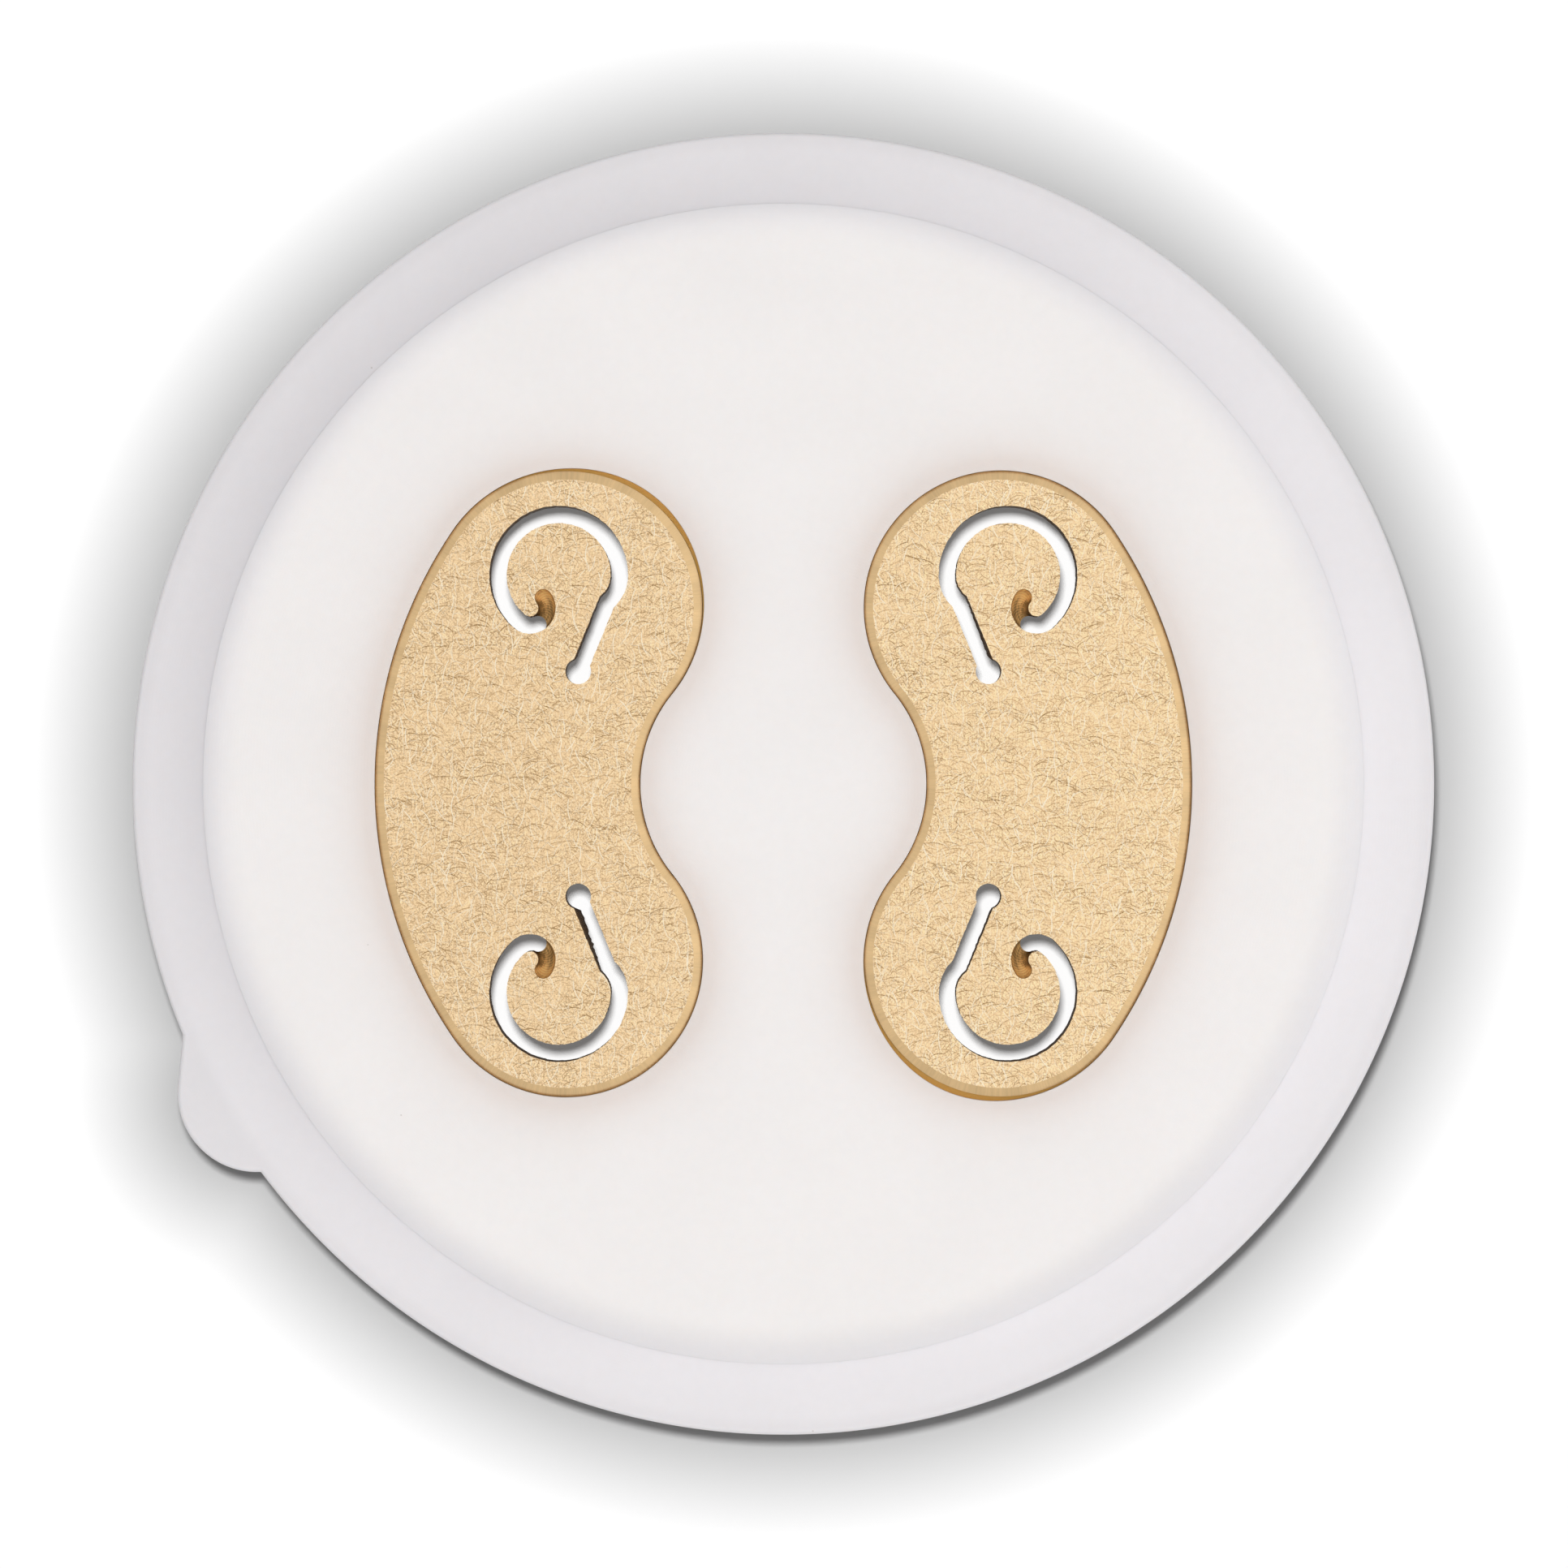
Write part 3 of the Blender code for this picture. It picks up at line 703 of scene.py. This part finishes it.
def dress_body(body, inserts):
    """The acetal body, turned about the axis, with its tab, pockets and bearing hole."""
    rim = RimOutline(body)
    angles = rim.angles()
    build = Build()
    edge, edge_steps, crown_steps = body.flange_round, 8, 10
    round_r, rear, front = body.flange_radius - edge, body.flange_rear_z, body.flange_front_z
    chamfered = body.spigot_radius - body.spigot_lead_in
    profile = [(chamfered, REAR_Z), (body.spigot_radius, REAR_Z + body.spigot_lead_in)]
    profile += [(body.spigot_radius, rear - body.root_round), (body.spigot_radius + body.root_round, rear)]
    profile += arc((round_r, rear + edge), edge, -0.5 * pi, 0.0, edge_steps)
    profile += arc((round_r, front - edge), edge, 0.0, 0.5 * pi, edge_steps)
    profile += [(body.boss_radius + body.root_round, front), (body.boss_radius, front + body.root_round)]
    crown = (body.boss_radius - body.crown_radius * sin(body.crown_slope), FRONT_Z - body.crown_radius)
    profile += arc(crown, body.crown_radius, 0.5 * pi - body.crown_slope, 0.5 * pi, crown_steps)
    middle = 0.5 * (body.boss_radius + body.flange_radius)
    rings = []
    for radius, z in supported(profile):
        if radius > middle:
            outline = [polar(AXIS, rim.at(a, body.flange_radius - radius), a) for a in angles]
        else:
            outline = [polar(AXIS, radius, a) for a in angles]
        rings.append(build.ring(outline, z))
    build.stack(rings)

    gap, wide = body.pocket_gap, body.pocket_wide
    lip, burr, snug = 0.03 * MM, 0.012 * MM, 0.02 * MM
    ledge_z = FRONT_Z - body.ledge_depth
    dice = random.Random(7)
    mouth_polygons = []
    mouths_front, mouths_rear, holes = [], [], []
    for side in (-1, 1):
        kidney = Kidney(inserts, side)
        section = [
            (wide + body.pocket_chamfer, REAR_Z), (wide, REAR_Z + body.pocket_chamfer),
            (wide, body.pocket_seat_z), (snug, body.pocket_seat_z), (snug, ledge_z),
        ]
        pocket = [build.ring(kidney.outline(offset), z) for offset, z in supported(section)]
        pocket += [build.ring(kidney.worn(gap, body), z) for z in (ledge_z, FRONT_Z - lip)]
        mouth = roughened(kidney.worn(gap + lip, body), burr, dice)
        pocket.append(build.ring(mouth, FRONT_Z))
        build.stack(pocket)
        mouth_polygons.append(mouth)
        mouths_rear.append(pocket[0])
        mouths_front.append(pocket[-1])
        holes.append(kidney)

    middle_point, bore_steps = 0.0001 * MM, 180
    hole = [(middle_point, body.hole_depth), (body.hole_radius, body.hole_depth)]
    hole += [(body.hole_radius, REAR_Z + body.hole_chamfer), (body.hole_radius + body.hole_chamfer, REAR_Z)]
    bore_angles = [2.0 * pi * i / bore_steps for i in range(bore_steps)]
    bore = [build.ring([polar(AXIS, r, a) for a in bore_angles], z) for r, z in supported(hole)]
    build.stack(bore)

    def on_front(x, y):
        near = min(k.distance(x, y) for k in holes)
        if near > body.worn_gap + gap + 2.0 * lip or near < 0.0:
            return near > 0.0
        return not any(inside_polygon(x, y, polygon) for polygon in mouth_polygons)

    def on_rear(x, y):
        clear = min(k.distance(x, y) for k in holes) > wide + 0.9 * body.pocket_chamfer
        return clear and hypot(x, y) > body.hole_radius + 0.9 * body.hole_chamfer

    # Extra points on the front face: rings at millimetres from each insert, and a wide grid elsewhere
    ring_places, beyond = (0.35, 0.65, 1.0, 1.45, 2.0, 2.7, 3.5, 4.5, 5.7), 0.1
    face_limit = 0.94 * body.boss_radius
    grid_rings, grid_pitch, grid_start = 20, 1.8 * MM, 6.2 * MM
    extra = []
    for kidney, other in (holes, holes[::-1]):
        for place in ring_places:
            for p in kidney.outline((place + beyond) * MM)[:: max(1, round(place))]:
                if other.distance(*p) > place * MM and hypot(*p) < face_limit:
                    extra.append(p)
    for i in range(1, grid_rings - 1):
        radius = body.boss_radius * i / grid_rings
        count = max(8, round(2.0 * pi * radius / grid_pitch))
        for j in range(count):
            p = polar(AXIS, radius, 2.0 * pi * (j + 0.5 * (i % 2)) / count)
            if min(k.distance(*p) for k in holes) > grid_start:
                extra.append(p)
    build.sheet(rings[-1], mouths_front, FRONT_Z, True, extra, inside=on_front)
    build.sheet(rings[0], mouths_rear + [bore[-1]], REAR_Z, False, inside=on_rear)

    piece = build.finish("die_body_skin", [acetal_material(body)])
    glow = piece.data.attributes.new("glow", "FLOAT", "POINT")
    gap_shade = piece.data.attributes.new("gap_shade", "FLOAT", "POINT")
    full_glow, rear_glow, gap_width = 0.7 * MM, 0.6, 0.4 * MM
    for vert, glow_value, gap_shade_value in zip(piece.data.vertices, glow.data, gap_shade.data):
        near = max(0.0, min(k.distance(vert.co.x, vert.co.y) for k in holes))
        level = 1.0 if vert.co.z > front else rear_glow
        glow_value.value = level * exp(-max(0.0, near - full_glow) / body.amber_reach)
        # marks the pocket wall down in the clearance, where the amber shade is painted
        gap_shade_value.value = 1.0 if near < gap_width and front < vert.co.z < ledge_z + lip else 0.0
    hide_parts("die_body")
    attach(piece, "root")
    return piece


class Hook:
    """A hooked slot of the first quarter: its centreline and the outlines that follow it."""

    def __init__(self, sizes):
        self.half = 0.5 * sizes.slot_width
        self.ball_radius = sizes.ball_radius
        loop = (sizes.loop_x, sizes.loop_y)
        lead = polar(loop, sizes.loop_radius - sizes.lead_radius, pi)
        knee = polar(lead, sizes.lead_radius, pi + sizes.lead_sweep)
        self.ball = polar(knee, sizes.leg_length, sizes.leg_angle)
        self.curl = polar(loop, sizes.loop_radius - sizes.hook_radius, sizes.hook_start)
        leg_heading = sizes.leg_angle + pi
        half_turn = 0.5 * (sizes.lead_sweep + 0.5 * pi - leg_heading)
        leg_steps = chords(1.0, sizes.leg_length)
        clear_of_ball = 1.05 * sizes.ball_radius
        self.path = []
        for i in range(leg_steps):
            point = tuple(foot + (top - foot) * i / leg_steps for foot, top in zip(self.ball, knee))
            if dist(point, self.ball) >= clear_of_ball:
                self.path.append((point, leg_heading, 1.0))
        self.path.append((knee, leg_heading + half_turn, 1.0 / cos(half_turn)))
        self.leg_end = len(self.path)
        self.run(lead, sizes.lead_radius, pi + sizes.lead_sweep, pi)
        self.run(loop, sizes.loop_radius, pi, sizes.hook_start)
        self.loop_end = len(self.path)
        self.run(self.curl, sizes.hook_radius, sizes.hook_start, sizes.hook_start - sizes.hook_open)
        self.open_end = len(self.path)
        start = sizes.hook_start - sizes.hook_open
        steps = chords(sizes.hook_radius, sizes.hook_blind, 0.07 * MM)
        self.ramp = [(self.path[-1][0], start - 0.5 * pi)]
        for i in range(1, steps + 1):
            angle = start - sizes.hook_blind * i / steps
            self.ramp.append((polar(self.curl, sizes.hook_radius, angle), angle - 0.5 * pi))
        self.leg_heading = leg_heading

    def run(self, centre, radius, start, end):
        steps = chords(radius + self.half, end - start)
        for i in range(1, steps + 1):
            angle = start + (end - start) * i / steps
            self.path.append((polar(centre, radius, angle), angle - 0.5 * pi, 1.0))

    def sides(self, half, stop):
        """Right and left edges of a channel along the path up to a stop."""
        right = [polar(p, half * reach, heading - 0.5 * pi) for p, heading, reach in self.path[:stop]]
        left = [polar(p, half * reach, heading + 0.5 * pi) for p, heading, reach in self.path[:stop]]
        return right, left

    def ball_cap(self, half, radius, steps=18):
        """The round end at the foot of the leg, from the left edge round to the right edge."""
        spread = pi - asin(min(1.0, half / radius))
        back = self.leg_heading + pi
        return arc(self.ball, radius, back - spread, back + spread, steps)


# Slots of an insert's materials
FACE, EDGE, WALL, RAMP = range(4)
# Facets across the round nose of the tool that cut the hooks
NOSE_STEPS = 16


def dress_insert(sizes, side, name, materials):
    """One brass insert: a kidney block with a retaining flange, hooked slots and feed chambers."""
    kidney = Kidney(sizes, side)
    build = Build()
    shoulder = INSERT_REAR_Z + sizes.flange_height
    sections = [
        (sizes.flange_width - sizes.rear_chamfer, INSERT_REAR_Z),
        (sizes.flange_width, INSERT_REAR_Z + sizes.rear_chamfer),
        (sizes.flange_width, shoulder),
        (0.0, shoulder),
        (0.0, FRONT_Z - sizes.bevel_depth),
        (-sizes.bevel_width, FRONT_Z),
    ]
    rings = [build.ring(kidney.outline(offset), z) for offset, z in sections]
    build.stack(rings, [EDGE, WALL, WALL, WALL, EDGE])
    hook = Hook(sizes)
    dice = random.Random(40 + side)
    mouths, rear_mouths = [], []
    for side_y in (1, -1):
        top, bottom = cut_hook(build, hook, sizes, side, side_y, dice)
        mouths.append(top)
        rear_mouths.append(bottom)

    def outside(rings):
        polygons = [flat(ring) for ring in rings]
        return lambda x, y: not any(inside_polygon(x, y, polygon) for polygon in polygons)

    build.sheet(rings[-1], mouths, FRONT_Z, True, material=FACE, inside=outside(mouths))
    build.sheet(rings[0], rear_mouths, INSERT_REAR_Z, False, material=WALL, inside=outside(rear_mouths))
    piece = build.finish(name, materials, sharp=16.0)
    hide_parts(name.replace("_skin", ""))
    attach(piece, "root")
    return piece


# How far the torn brass beside the foot of a leg leans into the slot, for each quarter of the die
TORN_LEG = {(-1, -1): 0.36 * MM, (1, 1): 0.16 * MM, (-1, 1): 0.06 * MM, (1, -1): 0.05 * MM}


def ramp_depths(sizes, half, place, count, pitch):
    """Depths across one station of the blind ramp: a round-nosed tool cut it, climbing to the tip."""
    along = place / (count - 1)
    depth = sizes.ramp_deep + (sizes.ramp_shallow - sizes.ramp_deep) * along
    ahead = min(1.0, max(0.0, 1.0 - (count - 1 - place) * pitch / half))
    closing = half * (1.0 - sqrt(1.0 - ahead**2))
    ripple = 0.006 * MM * (-1) ** place if place < count - 1 else 0.0
    across = [cos(pi * k / NOSE_STEPS - 0.5 * pi) for k in range(NOSE_STEPS + 1)]
    return [depth - half * (1.0 - c) - closing * c + ripple * c for c in across]


def cut_hook(build, hook, sizes, side, side_y, dice):
    """One slot with its blind ramp and feed chamber; returns its rings at the front and rear faces."""
    land_z = FRONT_Z - sizes.land
    nose, ragged = range(NOSE_STEPS), 0.018 * MM

    def put(points):
        return [(side * x, side_y * y) for x, y in points]

    def face(corners, material=WALL, uvs=None):
        if side * side_y < 0:
            corners, uvs = corners[::-1], uvs and uvs[::-1]
        build.face(corners, material, uvs)

    right, left = hook.sides(hook.half, hook.open_end)
    right, left = roughened(right, ragged, dice), roughened(left, ragged, dice)
    leaning = []
    for i, (x, y) in enumerate(right):
        share_left = max(0.0, 1.0 - i / hook.leg_end) ** 0.6
        lean = TORN_LEG[(side, side_y)] * share_left * dice.uniform(0.6, 1.1)
        leaning.append(polar((x, y), lean, hook.leg_heading + 0.5 * pi))
    cap = put(hook.ball_cap(hook.half, hook.ball_radius))
    right, left, leaning = put(right), put(left), put(leaning)
    arcs = [put(arc(c, hook.half, way - 0.5 * pi, way + 0.5 * pi, NOSE_STEPS)) for c, way in hook.ramp]
    arcs[0][0], arcs[0][-1] = right[-1], left[-1]
    count = len(arcs)
    pitch = sizes.hook_radius * sizes.hook_blind / (count - 1)

    low = build.ring(cap + leaning + arcs[0][1:-1] + left[::-1], land_z)
    top = build.ring(cap + right, FRONT_Z)
    top_left = build.ring(left[::-1], FRONT_Z)
    end = len(cap) + len(right) - 1
    floors = []
    for i, points in enumerate(arcs):
        depths = ramp_depths(sizes, hook.half, i, count, pitch)
        corners = [(x, y, FRONT_Z - depth) for (x, y), depth in zip(points, depths)]
        floors.append([build.bm.verts.new(corner) for corner in corners])

    chain_top = top_left + top
    chain_low = low[end + NOSE_STEPS:] + low[: end + 1]
    final = len(chain_top) - 2
    for i in range(len(chain_top) - 1):
        corners = [chain_low[i], chain_low[i + 1], chain_top[i + 1], chain_top[i]]
        if i == 0:
            corners.append(floors[0][-1])
        if i == final:
            corners.insert(2, floors[0][0])
        face(corners)
    end_low = low[end: end + NOSE_STEPS + 1]
    for i in nose:
        face([end_low[i], end_low[i + 1], floors[0][i + 1], floors[0][i]])

    rim_right, rim_left = [top[-1]], [top_left[0]]
    for i, (here, ahead, points) in enumerate(zip(floors, floors[1:], arcs[1:])):
        near, far = i * pitch, (i + 1) * pitch
        for j in nose:
            inner, outer = j / NOSE_STEPS, (j + 1) / NOSE_STEPS
            uvs = [(inner, near), (outer, near), (outer, far), (inner, far)]
            face([here[j], here[j + 1], ahead[j + 1], ahead[j]], RAMP, uvs)
        rim_right.append(build.ring([points[0]], FRONT_Z)[0])
        rim_left.append(build.ring([points[-1]], FRONT_Z)[0])
        face([here[0], ahead[0], rim_right[-1], rim_right[-2]])
        face([ahead[-1], here[-1], rim_left[-2], rim_left[-1]])
    tip = [rim_right[-1]] + build.ring(arcs[-1][1:-1], FRONT_Z) + [rim_left[-1]]
    for j in nose:
        face([floors[-1][j], floors[-1][j + 1], tip[j + 1], tip[j]])
    front_ring = top + rim_right[1:-1] + tip + rim_left[1:-1][::-1] + top_left

    half_chamber = 0.5 * sizes.chamber_width
    wide_right, wide_left = hook.sides(half_chamber, hook.loop_end)
    end_point, end_heading, _ = hook.path[hook.loop_end - 1]
    end_cap = arc(end_point, half_chamber, end_heading - 0.5 * pi, end_heading + 0.5 * pi, 24)
    foot_cap = hook.ball_cap(half_chamber, half_chamber, 28)
    chamber = put(foot_cap + wide_right[:-1] + end_cap + wide_left[:-1][::-1])
    ceiling = build.ring(chamber, land_z)
    mouth = build.ring(chamber, INSERT_REAR_Z)
    for i in range(len(mouth)):
        j = (i + 1) % len(mouth)
        face([mouth[i], mouth[j], ceiling[j], ceiling[i]])
    slot_polygon = flat(low)

    def on_ceiling(x, y):
        return inside_polygon(x, y, chamber) and not inside_polygon(x, y, slot_polygon)

    build.sheet(ceiling, [low], land_z, False, material=WALL, inside=on_ceiling)
    return front_ring, mouth


class PASTADIE_OT_body(bpy.types.Operator):
    """Build the finished acetal body over its plain solid"""

    bl_idname = "pastadie.body"
    bl_label = "Acetal Body"

    def execute(self, context):
        dress_body(context.scene.pastadie_body, context.scene.pastadie_inserts)
        return {"FINISHED"}


class PASTADIE_OT_inserts(bpy.types.Operator):
    """Build the two finished brass inserts over their plain solids"""

    bl_idname = "pastadie.inserts"
    bl_label = "Brass Inserts"

    def execute(self, context):
        look = context.scene.pastadie_inserts
        materials = [
            brass_face_material(look),
            brass_edge_material(
                "milled brass edge", look.milled, streak=5.0, contrast=0.07, roughness=0.34, metallic=1.0
            ),
            brass_edge_material(
                "inner brass wall", look.inner, streak=3.0, contrast=0.35, roughness=0.40, metallic=0.5
            ),
            ramp_material(look),
        ]
        for name, side in (("left_insert_skin", -1), ("right_insert_skin", 1)):
            dress_insert(look, side, name, materials)
        return {"FINISHED"}


def disc(name, radius, z):
    bm = bmesh.new()
    bmesh.ops.create_circle(bm, cap_ends=True, segments=96, radius=radius)
    mesh = bpy.data.meshes.new(name)
    bm.to_mesh(mesh)
    bm.free()
    item = bpy.data.objects.new(name, mesh)
    item.location.z = z
    bpy.context.scene.collection.objects.link(item)
    return item


def seen_directly(g):
    """One for rays of the camera and for the reflections that show the background, else nought."""
    ray = g.node("ShaderNodeLightPath").outputs
    return g.larger(ray["Is Camera Ray"], g.larger(ray["Is Glossy Ray"], ray["Is Transmission Ray"]))


def backdrop_material(name, tone, plain, shading=None, glow=0.0):
    """White to the eye, so that it is white but keeps its shadows; plain to the light it passes on."""
    material = bpy.data.materials.new(name)
    material.use_nodes = True
    g = Graph(material.node_tree)
    material.node_tree.nodes.clear()
    bright_colour = (tone, tone, tone, 1.0)
    if shading:
        level = g.times(shading(g), tone)
        bright_colour = g.node("ShaderNodeCombineColor", {0: level, 1: level, 2: level}).outputs[0]
    bright = g.node("ShaderNodeBsdfDiffuse", {"Color": bright_colour}).outputs[0]
    if glow:
        own = g.node("ShaderNodeEmission", {"Strength": glow}).outputs[0]
        bright = g.node("ShaderNodeAddShader", {0: bright, 1: own}).outputs[0]
    dull = g.node("ShaderNodeBsdfDiffuse", {"Color": (plain, plain, plain, 1.0)}).outputs[0]
    mixed = g.node("ShaderNodeMixShader", {0: seen_directly(g), 1: dull, 2: bright}).outputs[0]
    g.node("ShaderNodeOutputMaterial", {"Surface": mixed})
    return material


def shade_near_die(g, stage, body):
    """Soft shade on the floor round the rim and the tab, fading outwards."""
    lens_z = FRONT_Z + stage.camera_distance
    grown = lens_z / (lens_z - body.flange_front_z)
    place = g.vector("MULTIPLY", g.node("ShaderNodeNewGeometry").outputs["Position"], FLAT)
    from_rim = g.minus(g.vector("LENGTH", place), body.flange_radius * grown)
    tab = polar(AXIS, body.tab_pitch * grown, body.tab_angle)
    from_tab = g.minus(g.vector("DISTANCE", place, (*tab, 0.0)), body.tab_round * grown)
    away = g.math("SMOOTH_MIN", from_rim, from_tab, 1.5 * MM)
    return g.ramp(away, 0.0, stage.floor_reach, stage.floor_near, 1.0, smooth=False)


def make_world(stage):
    world = bpy.data.worlds.new("studio")
    bpy.context.scene.world = world
    world.use_nodes = True
    g = Graph(world.node_tree)
    world.node_tree.nodes.clear()
    direction = g.node("ShaderNodeTexCoord").outputs["Generated"]
    along = g.axis(direction, 1)
    dip = g.times(g.times(along, along), stage.studio_ends)
    lean = g.times(g.axis(direction, 0), stage.studio_right)
    mirrored = g.plus(g.minus(stage.studio, dip), lean)
    ray = g.node("ShaderNodeLightPath").outputs
    strength = g.plus(g.times(ray["Is Glossy Ray"], g.minus(mirrored, stage.sky)), stage.sky)
    light = g.node("ShaderNodeBackground", {"Color": WHITE, "Strength": strength}).outputs[0]
    white = g.node("ShaderNodeBackground", {"Color": WHITE, "Strength": 1.0}).outputs[0]
    mixed = g.node("ShaderNodeMixShader", {0: ray["Is Camera Ray"], 1: light, 2: white}).outputs[0]
    g.node("ShaderNodeOutputWorld", {"Surface": mixed})


def area_lamp(name, place, size, power, target=(0.0, 0.0, 0.0)):
    lamp = bpy.data.lights.new(name, "AREA")
    lamp.shape = "DISK"
    lamp.size = size
    lamp.energy = power
    item = bpy.data.objects.new(name, lamp)
    item.location = place
    item.rotation_euler = (Vector(target) - Vector(place)).to_track_quat("-Z", "Y").to_euler()
    item.visible_camera = False
    item.visible_glossy = False
    bpy.context.scene.collection.objects.link(item)
    return item


def light_only(lamp, name, pieces, state="INCLUDE"):
    """Let a lamp light the given pieces only, or all but them."""
    group = bpy.data.collections.new(name)
    for piece in pieces:
        group.objects.link(piece)
    for entry in group.collection_objects:
        entry.light_linking.link_state = state
    lamp.light_linking.receiver_collection = group


class PASTADIE_OT_stage(bpy.types.Operator):
    """Set up the camera, the white floor and the soft light"""

    bl_idname = "pastadie.stage"
    bl_label = "Stage"

    def execute(self, context):
        stage = context.scene.pastadie_stage
        scene = context.scene
        scene.view_settings.view_transform = "Standard"
        camera = bpy.data.cameras.new("camera")
        camera.sensor_fit = "HORIZONTAL"
        camera.angle = 2.0 * atan(0.5 * stage.view_width / stage.camera_distance)
        camera.clip_start = 0.01
        item = bpy.data.objects.new("camera", camera)
        item.location = (stage.view_shift_x, stage.view_shift_y, FRONT_Z + stage.camera_distance)
        scene.collection.objects.link(item)
        scene.camera = item

        body = scene.pastadie_body
        floor = disc("floor", stage.floor_radius, REAR_Z - 2.0 * stage.floor_gap)
        floor.data.materials.append(backdrop_material(
            "white floor", stage.floor_tone, stage.floor_passed, lambda g: shade_near_die(g, stage, body)
        ))
        card = disc("white_card", body.spigot_radius - body.spigot_lead_in, REAR_Z - stage.floor_gap)
        card.data.materials.append(backdrop_material(
            "white card", stage.card_tone, stage.card_passed, glow=stage.card_glow
        ))
        make_world(stage)
        right, down = stage.box_right, -stage.box_down
        softbox = area_lamp("softbox", (right, down, stage.box_height), stage.box_size, stage.box_power)
        key = area_lamp("key_lamp", (0.0, 0.0, stage.box_height), stage.key_size, stage.key_power)
        for lamp in (softbox, key):
            light_only(lamp, "not lit by the " + lamp.name, (floor, card), "EXCLUDE")
        lens_height = FRONT_Z + stage.camera_distance
        for piece, left, up, size in (
            (floor, stage.ring_left, stage.ring_up, stage.ring_size),
            (card, stage.slot_left, stage.slot_up, stage.slot_size),
        ):
            lamp = area_lamp("lens_lamp_" + piece.name, (-left, up, lens_height), size, stage.ring_power)
            light_only(lamp, "lit by " + lamp.name, (piece,))
        return {"FINISHED"}


class PASTADIE_PT_panel(bpy.types.Panel):
    """Sizes, colours and build steps of the pasta die"""

    bl_label = "Pasta Die"
    bl_space_type = "VIEW_3D"
    bl_region_type = "UI"
    bl_category = "Pasta Die"

    def draw(self, context):
        for name, _, operator in STEPS:
            box = self.layout.box()
            box.label(text=operator.bl_label)
            settings = getattr(context.scene, name)
            for setting in settings.__annotations__:
                box.prop(settings, setting)
            box.operator(operator.bl_idname)


STEPS = (
    ("pastadie_stage", PASTADIE_PG_stage, PASTADIE_OT_stage),
    ("pastadie_body", PASTADIE_PG_body, PASTADIE_OT_body),
    ("pastadie_inserts", PASTADIE_PG_inserts, PASTADIE_OT_inserts),
)


def register():
    for name, group, operator in STEPS:
        bpy.utils.register_class(group)
        bpy.utils.register_class(operator)
        setattr(bpy.types.Scene, name, PointerProperty(type=group))
    bpy.utils.register_class(PASTADIE_PT_panel)


def unregister():
    bpy.utils.unregister_class(PASTADIE_PT_panel)
    for name, group, operator in reversed(STEPS):
        delattr(bpy.types.Scene, name)
        bpy.utils.unregister_class(operator)
        bpy.utils.unregister_class(group)


def main():
    register()
    bpy.ops.pastadie.stage()
    bpy.ops.pastadie.body()
    bpy.ops.pastadie.inserts()


if __name__ == "__main__":
    main()
